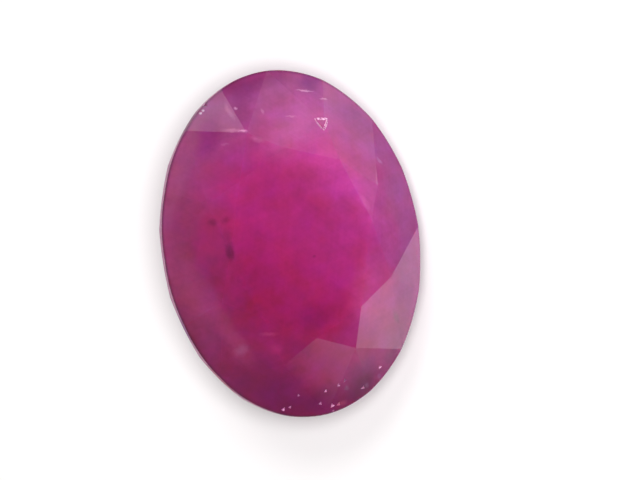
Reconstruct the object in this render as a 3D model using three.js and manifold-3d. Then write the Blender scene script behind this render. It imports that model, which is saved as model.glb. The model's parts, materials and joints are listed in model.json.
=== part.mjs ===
// A faceted oval ruby of nearly four carats, lying on one of its lowest facets.
// The crown, above the girdle, is an oval brilliant: a table, eight stars, eight kites and sixteen
// upper girdle facets. The pavilion, below it, is step-cut in three tiers that close on a short keel.
// Every facet is ground off a plain oval preform, as a cutter does it, so each one is truly flat.

import * as THREE from 'three';
import { mergeVertices } from 'three/addons/utils/BufferGeometryUtils.js';
import Module from 'manifold-3d';

// Driving dimensions in millimetres, in the stone's own frame: X across the width, Y along the
// length, Z out through the table, and Z = 0 at the middle of the girdle.
const WIDTH = 8.0;
const LENGTH = 10.6;
const GIRDLE_THICKNESS = 0.3;
const CROWN_HEIGHT = 1.44;
const STAR_TIP_HEIGHT = 1.09;
const PAVILION_DEPTH = 3.3;
const KEEL_LENGTH = 2.6;

// A turn is a direction round the stone in degrees, from +X towards +Y. A reach is a share of the
// way from the stone's axis to its girdle, so one number fits the oval all round.
// The crown was cut by eye, so its facets stray a few degrees from even spacing.
const TABLE_EDGES = [
  { turn: 25.5, reach: 0.525 },
  { turn: 74, reach: 0.515 },
  { turn: 112, reach: 0.52 },
  { turn: 158, reach: 0.53 },
  { turn: 202, reach: 0.525 },
  { turn: 248, reach: 0.52 },
  { turn: 289.5, reach: 0.515 },
  { turn: 339, reach: 0.488 },
];
const KITE_TURNS = [359, 39.5, 89, 133, 179, 224, 273, 315.5];

// Each pavilion tier ends at a reach and at a depth below the girdle.
const UPPER_TIER_END = { reach: 0.875, depth: 0.95 };
const MIDDLE_TIER_END = { reach: 0.66, depth: 2.0 };
const UPPER_TIER_FACETS = 16;
const MIDDLE_TIER_FACETS = 16;
const LOWEST_TIER_FACETS = 8;
const GIRDLE_SIDES = 144;

// A three-cornered pit where a star tip meets the kites, with walls that slope in at 45 degrees.
// It is the size of its mouth's corners from its middle, and one corner points along its turn.
const PIT = { x: 1.27, y: 3.49, radius: 0.37, depth: 0.085, turn: 264 };

// Small chips along the crown's two ends, where the stone has been knocked.
const CHIPS = [
  { turn: 253, reach: 0.972, size: 0.1 },
  { turn: 256, reach: 0.952, size: 0.08 },
  { turn: 259, reach: 0.88, size: 0.07 },
  { turn: 270, reach: 0.93, size: 0.09 },
  { turn: 273, reach: 0.867, size: 0.08 },
  { turn: 276, reach: 0.96, size: 0.12 },
  { turn: 279, reach: 0.965, size: 0.11 },
  { turn: 280, reach: 0.857, size: 0.09 },
  { turn: 284, reach: 0.847, size: 0.08 },
  { turn: 292, reach: 0.952, size: 0.09 },
  { turn: 303, reach: 0.934, size: 0.1 },
  { turn: 120, reach: 0.995, size: 0.12 },
];

const HALF_WIDTH = WIDTH / 2;
const HALF_LENGTH = LENGTH / 2;
const GIRDLE_TOP = GIRDLE_THICKNESS / 2;
const GIRDLE_BASE = -GIRDLE_THICKNESS / 2;
const TABLE_LEVEL = GIRDLE_TOP + CROWN_HEIGHT;
const STAR_TIP_LEVEL = GIRDLE_TOP + STAR_TIP_HEIGHT;
const KEEL_LEVEL = GIRDLE_BASE - PAVILION_DEPTH;

const PIT_SIDES = 3;
const PIT_FIRST_CORNER = -90;
const CHIP_ROLL = 1;
const CHIP_TILT = 2;

const UP = new THREE.Vector3(0, 0, 1);
const FULL_TURN = 360;
const GRINDING_BLOCK = 3 * LENGTH;
const NUMBERS_PER_POINT = 3;
const WELD_DISTANCE = 1e-5;

const manifold = await Module();
manifold.setup();

function solidOf(geometry) {
  const bare = geometry.clone();
  bare.deleteAttribute('normal');
  bare.deleteAttribute('uv');
  const merged = mergeVertices(bare, WELD_DISTANCE);
  return new manifold.Manifold(new manifold.Mesh({
    numProp: NUMBERS_PER_POINT,
    vertProperties: new Float32Array(merged.attributes.position.array),
    triVerts: new Uint32Array(merged.index.array),
  }));
}

function geometryOf(solid) {
  const mesh = solid.getMesh();
  const points = new THREE.BufferAttribute(new Float32Array(mesh.vertProperties), NUMBERS_PER_POINT);
  const geometry = new THREE.BufferGeometry();
  geometry.setAttribute('position', points);
  geometry.setIndex(new THREE.BufferAttribute(new Uint32Array(mesh.triVerts), 1));
  return geometry;
}

// The preform is a plain oval slab with the girdle's outline.
function preform() {
  const height = TABLE_LEVEL - KEEL_LEVEL;
  const slab = new THREE.CylinderGeometry(1, 1, height, GIRDLE_SIDES);
  slab.rotateX(Math.PI / 2);
  slab.scale(HALF_WIDTH, HALF_LENGTH, 1);
  slab.translate(0, 0, (TABLE_LEVEL + KEEL_LEVEL) / 2);
  return solidOf(slab);
}

// A place on or in the stone, from its turn, its reach and its height above the girdle's middle.
function place(turn, reach, height) {
  const angle = THREE.MathUtils.degToRad(turn);
  const across = reach * HALF_WIDTH * Math.cos(angle);
  const along = reach * HALF_LENGTH * Math.sin(angle);
  return new THREE.Vector3(across, along, height);
}

// A facet that faces one turn and passes through two lines square to it, each a reach and a level.
function facet(turn, first, second) {
  const angle = THREE.MathUtils.degToRad(turn);
  const slope = (second.reach - first.reach) / (second.level - first.level);
  const normal = new THREE.Vector3(Math.cos(angle) / HALF_WIDTH, Math.sin(angle) / HALF_LENGTH, -slope);
  return new THREE.Plane(normal, slope * first.level - first.reach).normalize();
}

// A facet through three junctions, which faces away from the stone's middle.
function facetThrough(a, b, c) {
  const plane = new THREE.Plane().setFromCoplanarPoints(a, b, c);
  return plane.constant > 0 ? plane.negate() : plane;
}

// The junction where three planes meet.
function meet(a, b, c) {
  const ab = new THREE.Vector3().crossVectors(a.normal, b.normal);
  const bc = new THREE.Vector3().crossVectors(b.normal, c.normal);
  const ca = new THREE.Vector3().crossVectors(c.normal, a.normal);
  const sum = bc.clone().multiplyScalar(-a.constant);
  sum.addScaledVector(ca, -b.constant).addScaledVector(ab, -c.constant);
  return sum.divideScalar(a.normal.dot(bc));
}

function levelPlane(height) {
  return new THREE.Plane(UP.clone(), -height);
}

// An upright plane that cuts the stone off at one reach.
function uprightPlane(turn, reach) {
  return facet(turn, { reach, level: 0 }, { reach, level: 1 });
}

// The crown is worked out from the table outwards. Kites run from the table's corners to the
// girdle, star tips lie where two kites meet, and the other facets are drawn through those points.
function crownFacets() {
  const table = levelPlane(TABLE_LEVEL);
  const count = KITE_TURNS.length;
  const before = (list, i) => list[(i + count - 1) % count];
  const after = (list, i) => list[(i + 1) % count];
  const edgeWalls = TABLE_EDGES.map(({ turn, reach }) => uprightPlane(turn, reach));
  const corners = edgeWalls.map((wall, i) => meet(before(edgeWalls, i), wall, table));

  const kites = KITE_TURNS.map((turn, i) => {
    const throughAxis = uprightPlane(turn, 0);
    const perReach = 1 / throughAxis.distanceToPoint(place(turn, 1, 0));
    const cornerReach = throughAxis.distanceToPoint(corners[i]) * perReach;
    return facet(turn, { reach: 1, level: GIRDLE_TOP }, { reach: cornerReach, level: TABLE_LEVEL });
  });
  const starTips = kites.map((kite, i) => meet(kite, after(kites, i), levelPlane(STAR_TIP_LEVEL)));
  const stars = starTips.map((tip, i) => facetThrough(corners[i], after(corners, i), tip));

  const upperGirdle = starTips.flatMap((tip, i) => {
    const start = KITE_TURNS[i];
    const gap = (after(KITE_TURNS, i) - start + FULL_TURN) % FULL_TURN;
    const [from, split, to] = [0, gap / 2, gap].map((step) => place(start + step, 1, GIRDLE_TOP));
    return [facetThrough(tip, from, split), facetThrough(tip, split, to)];
  });
  return [...stars, ...kites, ...upperGirdle];
}

function tier(count, upperEnd, lowerEnd) {
  return Array.from({ length: count }, (_, i) => facet(
    i * (FULL_TURN / count),
    { reach: upperEnd.reach, level: GIRDLE_BASE - upperEnd.depth },
    { reach: lowerEnd.reach, level: GIRDLE_BASE - lowerEnd.depth },
  ));
}

// The lowest tier closes on a keel, a short ridge along the stone's length, so each of its facets
// reaches as far from the axis as the keel's end does in that direction.
function lowestTier() {
  const keelReach = KEEL_LENGTH / LENGTH;
  return Array.from({ length: LOWEST_TIER_FACETS }, (_, i) => {
    const turn = i * (FULL_TURN / LOWEST_TIER_FACETS);
    const nearKeel = keelReach * Math.abs(Math.sin(THREE.MathUtils.degToRad(turn)));
    return facet(
      turn,
      { reach: nearKeel, level: KEEL_LEVEL },
      { reach: MIDDLE_TIER_END.reach, level: GIRDLE_BASE - MIDDLE_TIER_END.depth },
    );
  });
}

// Grinding a facet takes away all that lies beyond its plane.
function grind(stone, plane) {
  const block = new THREE.BoxGeometry(GRINDING_BLOCK, GRINDING_BLOCK, GRINDING_BLOCK);
  block.translate(0, 0, GRINDING_BLOCK / 2);
  block.applyQuaternion(new THREE.Quaternion().setFromUnitVectors(UP, plane.normal));
  const foot = plane.coplanarPoint(new THREE.Vector3());
  block.translate(foot.x, foot.y, foot.z);
  return stone.subtract(solidOf(block));
}

// The point of the crown straight above a place, with the lean of its surface there.
function onCrown(crown, x, y) {
  const above = crown.map((plane) => {
    const z = -(plane.constant + plane.normal.x * x + plane.normal.y * y) / plane.normal.z;
    return { point: new THREE.Vector3(x, y, z), normal: plane.normal };
  });
  return above.reduce((lowest, spot) => (spot.point.z < lowest.point.z ? spot : lowest));
}

// The pit's tool is a three-sided funnel, set square to the mean of the surface at its corners.
// It reaches as far above the surface as below it. Once it stands upright, its first corner points
// along -Y.
function pitTool(crown) {
  const { x, y, radius, depth, turn } = PIT;
  const apothem = Math.cos(Math.PI / PIT_SIDES);
  const mouth = radius + depth / apothem;
  const floor = radius - depth / apothem;
  const tool = new THREE.CylinderGeometry(mouth, floor, 2 * depth, PIT_SIDES);
  tool.rotateX(Math.PI / 2);
  tool.rotateZ(THREE.MathUtils.degToRad(turn - PIT_FIRST_CORNER));
  const lean = new THREE.Vector3();
  for (let side = 0; side < PIT_SIDES; side += 1) {
    const angle = THREE.MathUtils.degToRad(turn + side * (FULL_TURN / PIT_SIDES));
    lean.add(onCrown(crown, x + radius * Math.cos(angle), y + radius * Math.sin(angle)).normal);
  }
  tool.applyQuaternion(new THREE.Quaternion().setFromUnitVectors(UP, lean.normalize()));
  const { point } = onCrown(crown, x, y);
  tool.translate(point.x, point.y, point.z);
  return solidOf(tool);
}

// A chip is the bite of a small four-sided point that leans a different way each time.
function chipTool(crown, { turn, reach, size }, i) {
  const spot = place(turn, reach, 0);
  const { point } = onCrown(crown, spot.x, spot.y);
  const tool = new THREE.TetrahedronGeometry(size);
  tool.rotateX(i * CHIP_ROLL);
  tool.rotateY(i * CHIP_TILT);
  tool.translate(point.x, point.y, point.z);
  return solidOf(tool);
}

const crown = crownFacets();
const lowest = lowestTier();
const pavilion = [
  ...tier(UPPER_TIER_FACETS, { reach: 1, depth: 0 }, UPPER_TIER_END),
  ...tier(MIDDLE_TIER_FACETS, UPPER_TIER_END, MIDDLE_TIER_END),
  ...lowest,
];
const cut = [...crown, ...pavilion].reduce(grind, preform());
const damage = [pitTool(crown), ...CHIPS.map((chip, i) => chipTool(crown, chip, i))];
const stone = damage.reduce((worn, tool) => worn.subtract(tool), cut);

const rubyMaterial = new THREE.MeshStandardMaterial({ color: '#a92a6b', roughness: 0.12, metalness: 0 });
const ruby = new THREE.Mesh(geometryOf(stone), rubyMaterial);
ruby.name = 'ruby';

// The stone rests on the long lowest facet on its +X side, which is turned to face straight down.
const restFacet = lowest[0];
ruby.rotation.y = Math.atan2(restFacet.normal.x, -restFacet.normal.z);

const group = new THREE.Group();
group.add(ruby);
const box = new THREE.Box3().setFromObject(group, true);
const centre = box.getCenter(new THREE.Vector3());
ruby.position.set(-centre.x, -centre.y, -box.min.z);

export default group;
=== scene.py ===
# %% [markdown]
# # A clouded oval ruby
# This lesson dresses one cut stone: a loose oval ruby of nearly four carats, seen from above on a
# pale studio floor. The solid comes in as a fixed frame and already has every facet, so the work
# here is the stone's finish, the light that its facets mirror, and the camera. Sizes on the stone
# are in millimetres and are turned to metres where they are used.

# %% Load the fixed frame
import json
import math
from collections import namedtuple

import bpy
from mathutils import Matrix, Vector

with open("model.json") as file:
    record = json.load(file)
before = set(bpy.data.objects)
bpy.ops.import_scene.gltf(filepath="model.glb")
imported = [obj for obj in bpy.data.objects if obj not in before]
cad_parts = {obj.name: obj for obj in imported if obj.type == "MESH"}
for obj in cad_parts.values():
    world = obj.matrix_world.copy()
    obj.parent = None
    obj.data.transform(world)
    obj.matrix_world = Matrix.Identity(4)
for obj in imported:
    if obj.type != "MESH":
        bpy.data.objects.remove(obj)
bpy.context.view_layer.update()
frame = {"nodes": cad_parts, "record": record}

MM = 0.001
ruby = frame["nodes"]["ruby"]

# %% [markdown]
# ## The stone's own axes
# Everything on a cut stone is measured from its table, the big flat facet on top: the camera, the
# lights and the colour zones all follow it. The frame's record gives the table's middle and the
# direction that it faces. The stone's own X runs across its width, Y along its length and Z out
# through the table, with zero at the middle of the girdle, the thin band round its waist. In names,
# far is the end at the top of the picture, towards +Y, and near is the other end.

# %% Find the table and the girdle
TABLE_OVER_GIRDLE = 1.59

table_mount = next(m for m in frame["record"]["mounts"] if m["name"] == "table")
TABLE_AXIS = Vector(table_mount["axis"]).normalized()
GIRDLE_CENTRE = Vector(table_mount["pos_m"]) - TABLE_AXIS * TABLE_OVER_GIRDLE * MM
TABLE_LEAN = math.atan2(TABLE_AXIS.x, TABLE_AXIS.z)
STONE_ALONG = Vector((0, 1, 0))
STONE_ACROSS = STONE_ALONG.cross(TABLE_AXIS)
from_centre = [(v.co - GIRDLE_CENTRE) / MM for v in ruby.data.vertices]
HALF_WIDTH = max(place.dot(STONE_ACROSS) for place in from_centre)
HALF_LENGTH = max(place.dot(STONE_ALONG) for place in from_centre)
print("table leans", round(math.degrees(TABLE_LEAN), 1), "degrees towards +X")
print("girdle is", round(2 * HALF_WIDTH, 2), "by", round(2 * HALF_LENGTH, 2), "mm")

# %% [markdown]
# ## The camera
# The photograph looks at the crown 14 degrees off its axis, from the side where the girdle shows
# as a thin pale rim. A macro lens far from so small a thing has almost no perspective, so the
# camera stands 150 mm away with a long lens. Its roll gives the stone's length the photograph's
# lean, and its aim puts the stone left of the middle of the frame. It draws only what lies between
# its two clip distances, which are given here as multiples of its own distance.

# %% Place the camera
CAMERA_OFF_TABLE = math.radians(14.0)
CAMERA_DISTANCE = 150 * MM
FILM_WIDTH = 36
NEAR_CLIP = 0.05
FAR_CLIP = 100
IMAGE_WIDTH = 640
IMAGE_HEIGHT = 480
PIXELS_PER_MM = 32.9
STONE_PIXEL = Vector((291.3, 243.5))
LENGTH_LEAN = math.radians(9.2)


def stone_camera():
    """A long lens that looks down on the crown from the photograph's side."""
    lean = TABLE_LEAN - CAMERA_OFF_TABLE
    back = Vector((math.sin(lean), 0, math.cos(lean)))
    across = STONE_ALONG.cross(back)
    up = STONE_ALONG * math.cos(LENGTH_LEAN) + across * math.sin(LENGTH_LEAN)
    right = up.cross(back)
    offset = (Vector((IMAGE_WIDTH, IMAGE_HEIGHT)) / 2 - STONE_PIXEL) * MM / PIXELS_PER_MM
    place = GIRDLE_CENTRE + back * CAMERA_DISTANCE + right * offset.x - up * offset.y
    data = bpy.data.cameras.new("macro_lens")
    data.sensor_width = FILM_WIDTH
    data.lens = FILM_WIDTH * CAMERA_DISTANCE / MM * PIXELS_PER_MM / IMAGE_WIDTH
    data.clip_start = CAMERA_DISTANCE * NEAR_CLIP
    data.clip_end = CAMERA_DISTANCE * FAR_CLIP
    camera = bpy.data.objects.new("camera", data)
    camera.matrix_world = Matrix.Translation(place) @ Matrix((right, up, back)).transposed().to_4x4()
    bpy.context.collection.objects.link(camera)
    return camera, back


camera, TO_CAMERA = stone_camera()
bpy.context.scene.camera = camera
camera_turn = math.degrees(math.atan2(TO_CAMERA.y, TO_CAMERA.x))
camera_rise = math.degrees(math.asin(TO_CAMERA.z))
print("lens", round(camera.data.lens), "mm, looking down at", round(camera_rise), "degrees")

# %% [markdown]
# ## Colours and nodes
# Colours are written as the sRGB hex values that a colour picker shows, and one function turns
# them to the linear values that the shader wants. A second one adds a node with its settings and
# links, so that each material reads as a list of steps. Blender's Mix node has its colours in
# numbered sockets, so those numbers are given names here.

# %% Helpers for colours and nodes
BYTE_FULL = 255
SRGB_KNEE = 0.04045
SRGB_SLOPE = 12.92
SRGB_OFFSET = 0.055
SRGB_POWER = 2.4
UNDER = 6
OVER = 7
MIXED = 2


def linear(hex_colour):
    """An sRGB hex colour such as #a8266b as linear RGBA."""
    parts = [int(hex_colour[i:i + 2], 16) / BYTE_FULL for i in (1, 3, 5)]
    curved = [((v + SRGB_OFFSET) / (1 + SRGB_OFFSET)) ** SRGB_POWER for v in parts]
    return [v / SRGB_SLOPE if v <= SRGB_KNEE else bent for v, bent in zip(parts, curved)] + [1.0]


def add(tree, kind, inputs=None, **settings):
    """Adds a node. An input is a value, or a socket of another node to link from."""
    node = tree.nodes.new(kind)
    for name, value in settings.items():
        setattr(node, name, value)
    for name, value in (inputs or {}).items():
        if isinstance(value, bpy.types.NodeSocket):
            tree.links.new(value, node.inputs[name])
        else:
            node.inputs[name].default_value = value
    return node


def new_material(name):
    """A material with an empty tree and its output node."""
    material = bpy.data.materials.new(name)
    material.use_nodes = True
    material.node_tree.nodes.clear()
    return material, material.node_tree, material.node_tree.nodes.new("ShaderNodeOutputMaterial")


# %% [markdown]
# ## The floor
# The stone lies on a sheet of matt white card, wide enough to fill every view. Matt card has hardly
# any gloss, so the only things that it adds are the light that it throws back up and the soft
# shadow under the stone.

# %% Lay the white card
FLOOR_HALF = 1500 * MM
CARD_WHITE = "#f4f2f2"
CARD_ROUGHNESS = 0.95
CARD_SPECULAR = 0.1


def white_card():
    """A wide matt sheet at the height that the stone rests on."""
    mesh = bpy.data.meshes.new("white_card")
    corners = [(-FLOOR_HALF, -FLOOR_HALF, 0), (FLOOR_HALF, -FLOOR_HALF, 0),
               (FLOOR_HALF, FLOOR_HALF, 0), (-FLOOR_HALF, FLOOR_HALF, 0)]
    mesh.from_pydata(corners, [], [range(len(corners))])
    material, tree, out = new_material("matt_card")
    shader = add(tree, "ShaderNodeBsdfPrincipled", {
        "Base Color": linear(CARD_WHITE),
        "Roughness": CARD_ROUGHNESS,
        "Specular IOR Level": CARD_SPECULAR,
    })
    tree.links.new(shader.outputs[0], out.inputs["Surface"])
    mesh.materials.append(material)
    card = bpy.data.objects.new("white_card", mesh)
    bpy.context.collection.objects.link(card)
    return card


white_card()
print("white card", round(2 * FLOOR_HALF, 1), "m across")

# %% [markdown]
# ## The light
# A facet is a small flat mirror: it shows one patch of the room and nothing else. Turning the line
# to the camera about each facet's own direction tells which patch that is. The table and the left
# facets mirror the dim room high up, so they show the stone's own red, the lower right ones mirror
# the floor and what is over it, and a few catch a soft box. The big soft box is round the camera,
# where no facet mirrors it, so it lights the whole stone evenly and hides the shadow under it.

# %% Set the soft boxes
LIGHT_DISTANCE = 300 * MM


def soft_box(name, azimuth, elevation, half_angle, radiance, tall=1.0):
    """An area light that faces the stone, placed by its direction and its size as an angle."""
    turn, rise = math.radians(azimuth), math.radians(elevation)
    level = math.cos(rise)
    away = Vector((math.cos(turn) * level, math.sin(turn) * level, math.sin(rise)))
    width = 2 * LIGHT_DISTANCE * math.tan(math.radians(half_angle))
    area = math.pi / 4 * width * width * tall
    data = bpy.data.lights.new(name, "AREA")
    data.shape = "ELLIPSE"
    data.size = width
    data.size_y = width * tall
    data.energy = radiance * math.pi * area
    light = bpy.data.objects.new(name, data)
    light.location = GIRDLE_CENTRE + away * LIGHT_DISTANCE
    light.rotation_mode = "QUATERNION"
    light.rotation_quaternion = away.to_track_quat("Z", "Y")
    light.visible_camera = False
    bpy.context.collection.objects.link(light)
    print(f"{name}: {round(width / MM)} mm wide")


soft_box("soft_box_round_lens", camera_turn, camera_rise, half_angle=11, radiance=25.5)
soft_box("soft_box_far_end", azimuth=85, elevation=62, half_angle=9, radiance=8)
soft_box("soft_box_right", azimuth=38, elevation=14, half_angle=34, radiance=0.18, tall=0.6)
soft_box("soft_box_upper_left", azimuth=106, elevation=30, half_angle=7, radiance=0.58)

# %% [markdown]
# ## Grey cards
# The lowest facets mirror what is close beside the stone. On the real stone they are dimmer than
# white card and each has its own grey, because its surroundings were uneven. Small cards that only
# mirrors see give that. Some lie just over the floor and some are upright, each where the facets
# that need it look. A few fade along X, from all of their brightness at one place to a least share
# of it at another, and the facet then pales from one end to the other. Their places are in
# millimetres.

# %% List the grey cards
Fade = namedtuple("Fade", "least_at full_at least")
FloorCard = namedtuple("FloorCard", "grey outline fade", defaults=(None,))
UprightCard = namedtuple("UprightCard", "grey left right low high fade", defaults=(None,))

GREY_CARDS = {
    "beside": FloorCard("#595959", [(4.9, 0), (7.9, -1.7), (9, -1.7), (9, 4.85), (4.9, 4.7)]),
    "beyond": FloorCard("#9c9c9c", [(4.9, 4.8), (9, 4.9), (11.2, 4.7), (11.2, 8.3), (4.9, 8.3)]),
    "below": FloorCard("#c4c4c4", [(5.8, -12), (10.5, -12), (10.5, -9.6), (7.7, -6.6), (5.8, -6.6)],
                       Fade(6.6, 9.2, 0.25)),
    "lit_close": FloorCard("#dadada", [(4.9, -0.1), (4.9, -6.5), (7.75, -6.5), (7.75, -1.8)]),
    "lit_wide": FloorCard("#ececec", [(7.8, -1.8), (7.8, -6.5), (10.7, -9.6), (14.5, -10.5),
                                      (14.5, -5.5)]),
    "far": UprightCard("#696969", (14, 20.7), (9.3, 23.6), 0, 4.5),
    "near": UprightCard("#b4b4b4", (9.4, -23.5), (14.5, -20.5), 0, 4.5, Fade(11.6, 13.2, 0.22)),
    "near_high": UprightCard("#bcbcbc", (9, -23.6), (12.5, -21.7), 7, 11.5, Fade(9.2, 11.2, 0)),
}
print(sum(card.fade is not None for card in GREY_CARDS.values()), "of the cards fade")

# %% [markdown]
# ## Making the grey cards
# A card is one flat face with a painted grey that glows by itself, so that no shadow changes it.
# Each kind of ray but the mirrored one is told not to see it, and it neither lights the floor nor
# shows in the picture.

# %% Make the grey cards
GREY_CARD_LIFT = 0.2


def card_corners(card):
    """The corners of a card in millimetres."""
    if isinstance(card, FloorCard):
        return [Vector((x, y, GREY_CARD_LIFT)) for x, y in card.outline]
    return [Vector((*card.left, card.low)), Vector((*card.left, card.high)),
            Vector((*card.right, card.high)), Vector((*card.right, card.low))]


def grey_card(name, card):
    """A glowing card that only mirrors see."""
    corners = [corner * MM for corner in card_corners(card)]
    mesh = bpy.data.meshes.new(name)
    mesh.from_pydata(corners, [], [range(len(corners))])
    material, tree, out = new_material("painted_" + name)
    glow = add(tree, "ShaderNodeEmission", {"Color": linear(card.grey)})
    if card.fade:
        coordinates = add(tree, "ShaderNodeTexCoord")
        place = add(tree, "ShaderNodeSeparateXYZ", {0: coordinates.outputs["Object"]})
        share = add(tree, "ShaderNodeMapRange", {
            "Value": place.outputs["X"],
            "From Min": card.fade.least_at * MM,
            "From Max": card.fade.full_at * MM,
            "To Min": card.fade.least,
        })
        tree.links.new(share.outputs[0], glow.inputs["Strength"])
    tree.links.new(glow.outputs[0], out.inputs["Surface"])
    mesh.materials.append(material)
    piece = bpy.data.objects.new(name, mesh)
    for ray in ("camera", "diffuse", "transmission", "shadow", "volume_scatter"):
        setattr(piece, "visible_" + ray, False)
    bpy.context.collection.objects.link(piece)


for place, card in GREY_CARDS.items():
    grey_card("grey_card_" + place, card)
print(len(GREY_CARDS), "grey cards")

# %% [markdown]
# ## The room
# The rest of the room is white and dim, the same on every side. It keeps the darkest facets from
# going black without hiding their red. The Standard transform then shows each colour as it was
# chosen, with no film curve over it.

# %% Set the room and the colour transform
ROOM_COLOUR = "#ffffff"
ROOM_STRENGTH = 0.1

world = bpy.data.worlds.new("dim_room")
world.use_nodes = True
room = world.node_tree.nodes["Background"]
room.inputs["Color"].default_value = linear(ROOM_COLOUR)
room.inputs["Strength"].default_value = ROOM_STRENGTH
bpy.context.scene.world = world
bpy.context.scene.view_settings.view_transform = "Standard"
print("room of brightness", ROOM_STRENGTH)

# %% [markdown]
# ## The colours of the body
# Ruby is corundum, tinted by chromium. Its colour is never even: this stone is a deep pinkish red
# in the middle and violet towards the rim. Its paling from the near left to the far right is painted
# light, the glow that the light draws out of it, strongest at the far right. Two ramps of colour
# along that slope, one for the middle and one for the rim, give the broad change. They are drawn in
# the stone's own axes, in millimetres.

# %% Set the broad colours
LIGHT_SLOPE_TURN = math.radians(40)
LIGHT_SLOPE_START = -4.5
LIGHT_SLOPE_END = 3.5
RIM_START = 0.4
RIM_END = 1.0
# Each ramp pales from its first colour to its last along the slope, and that paling is painted
# light.
MIDDLE_COLOURS = ["#c00e72", "#a60d60", "#c12180", "#ca3a94", "#f860c2"]
RIM_COLOURS = ["#90285e", "#a03072", "#ae4e88", "#b15598", "#b75ca2"]


def light_slope_colour(tree, slope, colours):
    """Even steps of colour along the slope of painted light, from its start to its end."""
    share = add(tree, "ShaderNodeMapRange", {
        "Value": slope, "From Min": LIGHT_SLOPE_START, "From Max": LIGHT_SLOPE_END})
    ramp = add(tree, "ShaderNodeValToRGB", {"Fac": share.outputs[0]})
    stops = ramp.color_ramp.elements
    stops[0].color = linear(colours[0])
    stops[1].color = linear(colours[-1])
    for step, colour in enumerate(colours[1:-1], 1):
        stops.new(step / (len(colours) - 1)).color = linear(colour)
    return ramp.outputs["Color"]


def share_of_rim(tree, stone):
    """How far out a place is: 0 on the stone's axis and 1 on its outline."""
    flat = add(tree, "ShaderNodeVectorMath", {
        0: stone, 1: (1 / HALF_WIDTH, 1 / HALF_LENGTH, 0)}, operation="MULTIPLY")
    reach = add(tree, "ShaderNodeVectorMath", {0: flat.outputs[0]}, operation="LENGTH")
    return reach.outputs["Value"]


def broad_colour(tree, stone):
    """The middle's colours, fading to the rim's."""
    slope = add(tree, "ShaderNodeVectorMath", {
        0: stone, 1: (math.cos(LIGHT_SLOPE_TURN), math.sin(LIGHT_SLOPE_TURN), 0)}, operation="DOT_PRODUCT")
    rim = add(tree, "ShaderNodeMapRange", {
        "Value": share_of_rim(tree, stone), "From Min": RIM_START, "From Max": RIM_END},
        interpolation_type="SMOOTHSTEP")
    return add(tree, "ShaderNodeMix", {
        "Factor": rim.outputs[0],
        UNDER: light_slope_colour(tree, slope.outputs["Value"], MIDDLE_COLOURS),
        OVER: light_slope_colour(tree, slope.outputs["Value"], RIM_COLOURS),
    }, data_type="RGBA").outputs[MIXED]


print(len(MIDDLE_COLOURS), "colours in the middle and", len(RIM_COLOURS), "round the rim")

# %% [markdown]
# ## The dark edge, painted shade
# Where the crown thins out at the girdle, light leaves through the far side of the wedge instead
# of coming back up, so the real stone shows a thin dark line round its outline. That shade is
# painted here as a narrow band of a darker colour on the last few hundredths of a millimetre.

# %% Draw the dark edge
# The edge's dark colour is painted shade.
EDGE_SHADE_WIDTH = 0.07
EDGE_SHADE_COLOUR = "#4a2c42"
EDGE_SHADE_STRENGTH = 0.75


def painted_edge_shade(tree, stone, colour):
    """Painted shade: a thin dark line along the outline, over what is there."""
    share = add(tree, "ShaderNodeMapRange", {
        "Value": share_of_rim(tree, stone),
        "From Min": 1 - EDGE_SHADE_WIDTH / HALF_WIDTH,
        "From Max": 1.0,
        "To Max": EDGE_SHADE_STRENGTH,
    })
    return add(tree, "ShaderNodeMix", {
        "Factor": share.outputs[0],
        UNDER: colour,
        OVER: linear(EDGE_SHADE_COLOUR),
    }, data_type="RGBA").outputs[MIXED]


print("dark edge", EDGE_SHADE_WIDTH, "mm wide")

# %% [markdown]
# ## Clouds
# Under the polish hang veils of fine needles that dull some places and pale others. Some clouds
# are painted light and shade instead: red_glow is a painted glow in the middle, where light comes
# back up out of the stone, the lit patch right of the table is painted light, and the clouds named
# shade are painted shade, where less light comes back out. Each is a soft oval of colour that runs
# right through the stone. Its place and its two half sizes are in millimetres, along the stone's own
# axes, and its turn is in degrees. The soft share of it is the part over which it fades out.

# %% List the clouds
Spot = namedtuple("Spot", "x y long wide turn colour strength soft z", defaults=(0.7, 0.8, None))

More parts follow.
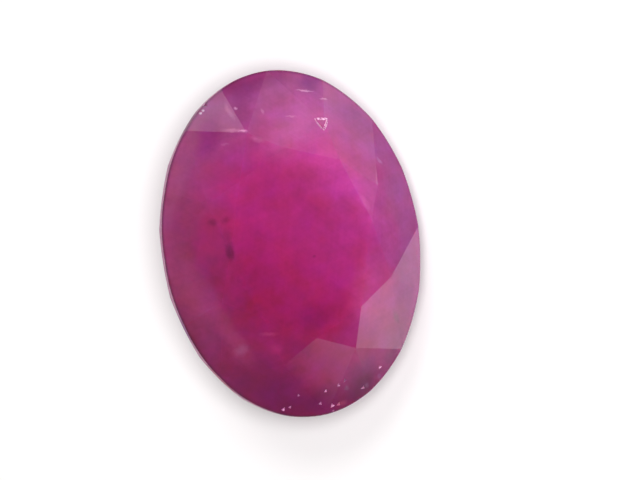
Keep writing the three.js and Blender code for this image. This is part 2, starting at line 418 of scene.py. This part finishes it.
CLOUDS = {
    # Painted glow where light comes back up out of the middle.
    "red_glow": Spot(-0.6, 1.2, 3.3, 1.7, 145, "#c22883"),
    "far_veil": Spot(0.9, 3.7, 2.3, 0.9, 30, "#d76bb8"),
    "right_veil": Spot(2.0, -1.9, 1.8, 1.1, 70, "#d0509a"),
    "left_rim_veil": Spot(-3.7, -0.2, 3.6, 0.8, 105, "#b2487f"),
    # near_shade, near_tip_shade and far_tip_shade are painted shade.
    "near_shade": Spot(-0.5, -5.1, 3.2, 1.5, 140, "#7c0c58"),
    "near_tip_shade": Spot(1.4, -4.9, 0.8, 1.3, 165, "#601050"),
    "far_tip_shade": Spot(-0.7, 5.2, 0.8, 2.2, 95, "#94186e"),
    # Painted shade.
    "far_left_shade": Spot(-2.1, 3.6, 0.5, 1.0, 150, "#a22783"),
    "left_veil": Spot(-3.4, 2.2, 2.4, 0.4, 65, "#bb5690"),
    # Painted light: a softly lit patch right of the table.
    "right_table_lit_patch": Spot(2.3, 2.0, 1.6, 0.6, 135, "#cb4d98"),
    "near_red": Spot(0.1, -2.3, 0.7, 1.0, 125, "#a00a6a"),
    "near_veil": Spot(0.5, -3.7, 2.0, 0.9, 20, "#b62c78"),
    "near_right_grey": Spot(2.6, -4.3, 2.3, 0.7, 80, "#925680"),
    # Painted shade.
    "far_right_shade": Spot(1.4, 4.9, 0.4, 0.6, 105, "#984792"),
    "near_left_veil": Spot(-2.5, -2.5, 1.5, 0.35, 115, "#b2447a", 0.6),
    # Painted shade.
    "far_edge_shade": Spot(-0.95, 4.45, 0.8, 0.5, 70, "#8c2a6c", 0.35),
    "left_pale": Spot(-3.2, -1.3, 1.0, 0.55, 110, "#b4427f"),
    "left_red": Spot(-2.7, 0.6, 0.8, 0.6, 80, "#ba2a76"),
    "right_violet": Spot(3.3, 0.9, 1.2, 0.5, 100, "#c25eae", 0.6),
    "right_pink": Spot(2.9, -0.3, 0.9, 0.5, 90, "#d04ca2", 0.6),
    "right_rose": Spot(2.4, -2.9, 1.4, 0.9, 70, "#d0609a", 0.35),
}
print(len(CLOUDS), "clouds")

# %% [markdown]
# ## Small marks
# A few dark crystals are shut inside the stone. Small cracks mirror the light as flat glints, which
# are painted as pale marks, and the light that worn edges, the pit, the right of the table and a
# chip catch is painted as pale highlights too. The specks round the chips are small and pale. A mark
# is the same kind of oval as a cloud, but it stays at its own height over the girdle.

# %% List the small marks
MARKS = {
    "dark_crystal_left": Spot(-2.62, 1.0, 0.22, 0.18, 0, "#70154c", 0.42, 0.9, 1.3),
    "dark_crystal_right": Spot(-2.25, 1.0, 0.22, 0.16, 30, "#70154c", 0.38, 0.9, 1.45),
    "long_crystal_end": Spot(-2.28, 0.05, 0.38, 0.17, 85, "#5c0f40", 0.62, 0.7, 1.55),
    "long_crystal": Spot(-2.32, 0.45, 0.5, 0.25, 85, "#7c1c55", 0.42, 0.9, 1.5),
    "table_speck": Spot(0.24, -0.5, 0.07, 0.06, 0, "#70154c", 0.4, 0.8, 1.6),
    "grey_fleck": Spot(2.7, -2.7, 0.4, 0.15, 110, "#8c5878", 0.6, 0.9, 0.65),
    # Painted glints where small cracks mirror the light.
    "far_crack_glint": Spot(1.06, 4.51, 0.36, 0.04, 167, "#ffb8e8", 0.8, 0.8, 0.51),
    "far_short_crack_glint": Spot(1.55, 4.18, 0.18, 0.035, 172, "#ffb8e8", 0.7, 0.8, 0.61),
    "far_dash_glint": Spot(0.35, 3.8, 0.24, 0.035, 170, "#f59ad2", 0.6, 0.8, 1.05),
    "far_speck": Spot(-0.44, 4.08, 0.08, 0.12, 10, "#e78cc4", 0.6, 0.8, 0.88),
    # Painted highlights on worn edges.
    "edge_nick_far_highlight": Spot(-1.2, 4.3, 0.09, 0.06, 0, "#ffb8e8", 0.8, 0.8, 0.64),
    "edge_spark_left": Spot(-2.18, 4.33, 0.07, 0.05, 60, "#ffe0f8", 0.9, 0.7, 0.14),
    "edge_spark_right": Spot(-2.09, 4.4, 0.05, 0.05, 0, "#ffe0f8", 0.8, 0.7, 0.14),
    "edge_light_far": Spot(-1.4, 4.25, 0.75, 0.11, 105, "#e08cc2", 0.5, 0.9, 0.65),
    "edge_light_tip": Spot(-1.2, 3.58, 0.2, 0.05, 170, "#ffa8dc", 0.8, 0.8, 1.15),
    "edge_light_long": Spot(-1.5, 3.66, 0.45, 0.08, 168, "#e884be", 0.6, 0.9, 0.95),
    "table_corner_veil": Spot(-0.85, 3.25, 0.32, 0.12, 155, "#e080bc", 0.5, 0.9, 1.35),
    "left_dash": Spot(-1.77, 3.27, 0.16, 0.05, 0, "#cf6aa8", 0.5, 0.8, 0.97),
    # Painted highlights by the pit and right of the table.
    "pit_left_light": Spot(1.13, 3.42, 0.22, 0.045, 115, "#ffc4ec", 0.8, 0.8, 1.25),
    "right_glint": Spot(2.97, 2.05, 0.2, 0.08, 125, "#dc8cd0", 0.8, 0.9, 0.73),
    "right_table_light": Spot(2.1, 0.85, 0.4, 0.16, 110, "#ee6abc", 0.5, 0.9, 1.55),
    "near_left_light": Spot(-2.26, -2.93, 0.34, 0.24, 20, "#bb5f9c", 0.6, 0.9, 0.85),
    "near_streak": Spot(-1.5, -2.58, 0.4, 0.09, 172, "#cc4884", 0.5, 0.9, 1.4),
    "near_red_speck": Spot(-1.33, -3.06, 0.3, 0.24, 0, "#c03070", 0.5, 0.9, 1.35),
    "near_red_flame": Spot(0.4, -2.75, 0.55, 0.25, 10, "#b81068", 0.35, 0.9, 1.55),
    "near_rim_flame": Spot(0.72, -5.02, 0.22, 0.12, 0, "#b85880", 0.5, 0.9, 0.18),
    # Painted highlight at a chip.
    "chip_sparkle": Spot(0.42, -5.22, 0.05, 0.04, 0, "#ffb0e0", 0.7, 0.8, 0.1),
    "chip_grey_fleck": Spot(0.86, -4.6, 0.1, 0.12, 0, "#96608c", 0.6, 0.9, 0.5),
    "chip_right_fleck": Spot(1.55, -4.62, 0.12, 0.1, 40, "#9a5a8c", 0.6, 0.9, 0.3),
    "chip_violet_fleck": Spot(2.02, -4.42, 0.1, 0.16, 20, "#a0609c", 0.6, 0.9, 0.2),
}
print(len(MARKS), "small marks")

# %% [markdown]
# ## Mixing a spot in
# A cloud or a mark is mixed over the colour that is there already. A Mapping node moves, turns and
# squeezes the coordinates until the oval is a ball of radius 1, and the distance from its middle
# then gives the share of the spot's colour.

# %% Mix a spot over the colour
THROUGH = 1000
MARK_DEPTH = 0.35


def mix_spot(tree, stone, colour, spot):
    """One soft oval of colour over what is there."""
    local = add(tree, "ShaderNodeMapping", {
        "Vector": stone,
        "Location": (spot.x, spot.y, spot.z or 0),
        "Rotation": (0, 0, math.radians(spot.turn)),
        "Scale": (spot.long, spot.wide, MARK_DEPTH if spot.z else THROUGH),
    }, vector_type="TEXTURE")
    reach = add(tree, "ShaderNodeVectorMath", {0: local.outputs[0]}, operation="LENGTH")
    mask = add(tree, "ShaderNodeMapRange", {
        "Value": reach.outputs["Value"],
        "From Min": 1.0,
        "From Max": 1.0 - spot.soft,
        "To Max": spot.strength,
    }, interpolation_type="SMOOTHSTEP")
    return add(tree, "ShaderNodeMix", {
        "Factor": mask.outputs[0],
        UNDER: colour,
        OVER: linear(spot.colour),
    }, data_type="RGBA").outputs[MIXED]


print("marks reach", MARK_DEPTH, "mm up and down from their height")

# %% [markdown]
# ## Silk
# Rutile needles grow in three directions, 60 degrees apart, and are far too fine to see one by
# one. They show only as a faint streaky grain, so three stretched noises are drawn much coarser
# than the needles, a tenth of a millimetre wide. Two broad noises are for the patches: one where
# the needles are dense or sparse, and one where the red turns a little warmer or more violet.

# %% Make the silk
SILK_TURNS = [15, 75, 135]
SILK_WIDTH = 0.1
SILK_LENGTH = 0.7
SILK_CONTRAST = 0.12
SILK_DETAIL = 1.0
PATCH_SIZE = 0.55
PATCH_CONTRAST = 0.5
PATCH_DETAIL = 3.0
PATCH_ROUGHNESS = 0.6
HUE_PATCH_SIZE = 0.9
HUE_SHIFT = 0.04
SAME_HUE = 0.5


def silk_hue(tree, stone):
    """The turn of the hue that makes some patches redder and some more violet."""
    patches = add(tree, "ShaderNodeTexNoise", {
        "Vector": stone, "Scale": 1 / HUE_PATCH_SIZE, "Detail": PATCH_DETAIL})
    return add(tree, "ShaderNodeMapRange", {
        "Value": patches.outputs[0],
        "To Min": SAME_HUE - HUE_SHIFT,
        "To Max": SAME_HUE + HUE_SHIFT,
    }).outputs[0]


def silk_brightness(tree, stone):
    """How bright the silk makes each place, round 1."""
    patches = add(tree, "ShaderNodeTexNoise", {
        "Vector": stone,
        "Scale": 1 / PATCH_SIZE,
        "Detail": PATCH_DETAIL,
        "Roughness": PATCH_ROUGHNESS,
    })
    total = add(tree, "ShaderNodeMapRange", {
        "Value": patches.outputs[0],
        "To Min": 1 - PATCH_CONTRAST / 2,
        "To Max": 1 + PATCH_CONTRAST / 2,
    }).outputs[0]
    for turn in SILK_TURNS:
        along = add(tree, "ShaderNodeMapping", {
            "Vector": stone,
            "Rotation": (0, 0, math.radians(turn)),
            "Scale": (SILK_LENGTH, SILK_WIDTH, SILK_LENGTH),
        }, vector_type="TEXTURE")
        needles = add(tree, "ShaderNodeTexNoise", {
            "Vector": along.outputs[0], "Scale": 1.0, "Detail": SILK_DETAIL})
        share = add(tree, "ShaderNodeMapRange", {
            "Value": needles.outputs[0],
            "To Min": -SILK_CONTRAST / 2,
            "To Max": SILK_CONTRAST / 2,
        })
        total = add(tree, "ShaderNodeMath", {
            0: total, 1: share.outputs[0]}, operation="ADD").outputs[0]
    return total


print("silk in", len(SILK_TURNS), "directions, drawn", SILK_WIDTH, "mm wide")

# %% [markdown]
# ## Places in the stone
# Every colour is drawn by its place in the stone's own axes, in millimetres. Clouds in a stone have
# no straight edges, so the coordinates are pushed about with a broad noise before the ovals are
# drawn, which makes them ragged. The marks get a finer and weaker push, so that they stay where
# they belong.

# %% Find places in the stone
WOBBLE_DETAIL = 4.0
WOBBLE_ROUGHNESS = 0.55
NOISE_MIDDLE = 0.5


def stone_coordinates(tree):
    """Places in the stone's own axes, in millimetres."""
    coordinates = add(tree, "ShaderNodeTexCoord")
    return add(tree, "ShaderNodeMapping", {
        "Vector": coordinates.outputs["Object"],
        "Location": GIRDLE_CENTRE,
        "Rotation": (0, TABLE_LEAN, 0),
        "Scale": (MM, MM, MM),
    }, vector_type="TEXTURE").outputs[0]


def wobble(tree, stone, size, reach):
    """The stone's coordinates, pushed about by noise."""
    noise = add(tree, "ShaderNodeTexNoise", {
        "Vector": stone,
        "Scale": 1 / size,
        "Detail": WOBBLE_DETAIL,
        "Roughness": WOBBLE_ROUGHNESS,
    })
    push = add(tree, "ShaderNodeVectorMath", {
        0: noise.outputs["Color"], 1: [NOISE_MIDDLE] * 3}, operation="SUBTRACT")
    return add(tree, "ShaderNodeVectorMath", {
        0: push.outputs[0], 1: [reach] * 3, 2: stone}, operation="MULTIPLY_ADD").outputs[0]


print("zero of the stone's axes in mm", [round(v / MM, 2) for v in GIRDLE_CENTRE])

# %% [markdown]
# ## Ruby, polished and clouded
# Ruby is hard, with an IOR of 1.77, and it takes a glassy polish. This one is full of silk, so it
# lets light through without being clear. The shader has two layers for that: a smooth coat that
# mirrors like the polish, over a body that is part transmission and mostly scattering under the
# surface. The body itself has no gloss, because the coat has all of it. Red light runs furthest
# through the body, and a plain absorption inside turns what passes through red too.

# %% Make the polished ruby
RUBY_IOR = 1.77
CLOUD_WOBBLE_SIZE = 1.1
CLOUD_WOBBLE_REACH = 0.6
MARK_WOBBLE = 0.12
POLISH_ROUGHNESS = 0.02
BODY_ROUGHNESS = 0.06
BODY_GLOSS = 0.0
CLEAR_SHARE = 0.3
GLOW_REACH = 1.6
GLOW_BY_COLOUR = (1.0, 0.25, 0.45)
DEPTH_COLOUR = "#e0407a"
DEPTH_PER_MM = 0.25


def ruby_colour(tree, stone):
    """The broad colours, with the clouds, the marks, the edge and the silk over them."""
    ragged = wobble(tree, stone, CLOUD_WOBBLE_SIZE, CLOUD_WOBBLE_REACH)
    colour = broad_colour(tree, ragged)
    for cloud in CLOUDS.values():
        colour = mix_spot(tree, ragged, colour, cloud)
    nearly_true = wobble(tree, stone, MARK_WOBBLE, MARK_WOBBLE)
    for mark in MARKS.values():
        colour = mix_spot(tree, nearly_true, colour, mark)
    colour = painted_edge_shade(tree, stone, colour)
    return add(tree, "ShaderNodeHueSaturation", {
        "Color": colour,
        "Hue": silk_hue(tree, ragged),
        "Value": silk_brightness(tree, stone),
    }).outputs[0]


def ruby_material():
    """Silky ruby under a glassy polish."""
    material, tree, out = new_material("ruby_polished")
    shader = add(tree, "ShaderNodeBsdfPrincipled", {
        "Base Color": ruby_colour(tree, stone_coordinates(tree)),
        "Roughness": BODY_ROUGHNESS,
        "Specular IOR Level": BODY_GLOSS,
        "IOR": RUBY_IOR,
        "Transmission Weight": CLEAR_SHARE,
        "Subsurface Weight": 1.0,
        "Subsurface Radius": GLOW_BY_COLOUR,
        "Subsurface Scale": GLOW_REACH * MM,
        "Coat Weight": 1.0,
        "Coat Roughness": POLISH_ROUGHNESS,
        "Coat IOR": RUBY_IOR,
    })
    depth = add(tree, "ShaderNodeVolumeAbsorption", {
        "Color": linear(DEPTH_COLOUR), "Density": DEPTH_PER_MM / MM})
    tree.links.new(shader.outputs[0], out.inputs["Surface"])
    tree.links.new(depth.outputs[0], out.inputs["Volume"])
    return material


FINISHES = {"polished": ruby_material()}
print("polished ruby of", len(FINISHES["polished"].node_tree.nodes), "nodes")

# %% [markdown]
# ## Tints of the matt places
# Two places on the stone aren't polished. The girdle was ground to its oval and left matt: it is
# pale on the left, and red and dark towards the near end. Where the stone was knocked, at the
# chips and on the sloping walls of the pit, it is broken, and some breaks are fainter or redder
# than others. The same soft ovals as for the clouds give both their changes of tint.

# %% List the tints
GROUND_TINTS = {
    "far_left_dark": Spot(-2.6, 4.1, 1.3, 0.9, 125, "#82446e", 0.8),
    "left_violet": Spot(-3.6, -2.0, 0.7, 0.7, 0, "#8e4690"),
    "near_left_red": Spot(-2.8, -3.7, 1.0, 1.0, 0, "#b84868", 0.6),
    "near_dark": Spot(-0.6, -5.3, 1.6, 1.0, 0, "#7c2a56", 0.85),
}
BROKEN_TINTS = {
    "faint_chip_high": Spot(0.84, -4.37, 0.2, 0.2, 0, "#8c4680", 0.7, 0.3),
    "faint_chip_left": Spot(-0.68, -4.6, 0.2, 0.2, 0, "#9a4c86", 0.6, 0.3),
    "red_chip": Spot(0.63, -5.07, 0.13, 0.2, 0, "#c05078", 0.6, 0.3),
    "grey_chip": Spot(0.02, -4.94, 0.2, 0.2, 0, "#b070a0", 0.5, 0.3),
    "pink_chip": Spot(0.18, -4.62, 0.2, 0.2, 0, "#c468a4", 0.4, 0.3),
    "pit_right_wall": Spot(1.53, 3.42, 0.3, 0.12, 70, "#a84c8c", 0.75, 0.5),
}
print(len(GROUND_TINTS), "tints on the ground girdle,", len(BROKEN_TINTS), "on the breaks")

# %% [markdown]
# ## Ground and broken ruby
# Grinding leaves a fine even grain. A break is rough and scatters light like crushed glass, so it
# shows as pale pink specks. Both are the same mineral with a coarser surface, so one function
# makes them from two colours, a grain, a roughness and the tints. The grain is a noise, deep where
# it is low and pale where it is high.

# %% Make the ground and the broken ruby
DEEP_BELOW = 0.4
PALE_ABOVE = 0.6
GRAIN_DETAIL = 2.0
MATT_SPECULAR = 0.2


def matt_ruby(name, pale, deep, grain, roughness, tints):
    """Unpolished ruby, with a grain that is given in millimetres."""
    material, tree, out = new_material(name)
    stone = stone_coordinates(tree)
    specks = add(tree, "ShaderNodeTexNoise", {
        "Vector": stone, "Scale": 1 / grain, "Detail": GRAIN_DETAIL})
    share = add(tree, "ShaderNodeMapRange", {
        "Value": specks.outputs[0], "From Min": DEEP_BELOW, "From Max": PALE_ABOVE})
    colour = add(tree, "ShaderNodeMix", {
        "Factor": share.outputs[0],
        UNDER: linear(deep),
        OVER: linear(pale),
    }, data_type="RGBA").outputs[MIXED]
    for tint in tints.values():
        colour = mix_spot(tree, stone, colour, tint)
    shader = add(tree, "ShaderNodeBsdfPrincipled", {
        "Base Color": colour,
        "Roughness": roughness,
        "IOR": RUBY_IOR,
        "Specular IOR Level": MATT_SPECULAR,
    })
    tree.links.new(shader.outputs[0], out.inputs["Surface"])
    return material


FINISHES["ground"] = matt_ruby("ruby_ground", pale="#d79abb", deep="#c486ac", grain=0.15,
                               roughness=0.6, tints=GROUND_TINTS)
FINISHES["broken"] = matt_ruby("ruby_broken", pale="#ffd0f0", deep="#b04c8c", grain=0.06,
                               roughness=0.35, tints=BROKEN_TINTS)
print("finishes:", ", ".join(material.name for material in FINISHES.values()))

# %% [markdown]
# ## A finish for each face
# Each face is given its finish by what makes it different. The girdle's faces stand square to the
# table. On a convex stone no corner lies in front of a facet, so a face that has corners well in
# front of it is a wall of a pit or a chip.

# %% Give each face its finish
BROKEN_HOLLOW = 0.2 * MM
UPRIGHT = 0.05
CORNER_DIGITS = 7

stone_mesh = ruby.data
stone_mesh.materials.clear()
for material in FINISHES.values():
    stone_mesh.materials.append(material)
corners = [Vector(c) for c in sorted({v.co.to_tuple(CORNER_DIGITS) for v in stone_mesh.vertices})]


def finish_of(face):
    """The name of the finish that a face needs."""
    if any((corner - face.center).dot(face.normal) > BROKEN_HOLLOW for corner in corners):
        return "broken"
    if abs(face.normal.dot(TABLE_AXIS)) < UPRIGHT:
        return "ground"
    return "polished"


finishes = [finish_of(face) for face in stone_mesh.polygons]
slots = list(FINISHES)
stone_mesh.polygons.foreach_set("material_index", [slots.index(finish) for finish in finishes])
print("faces:", ", ".join(f"{finishes.count(finish)} {finish}" for finish in slots))
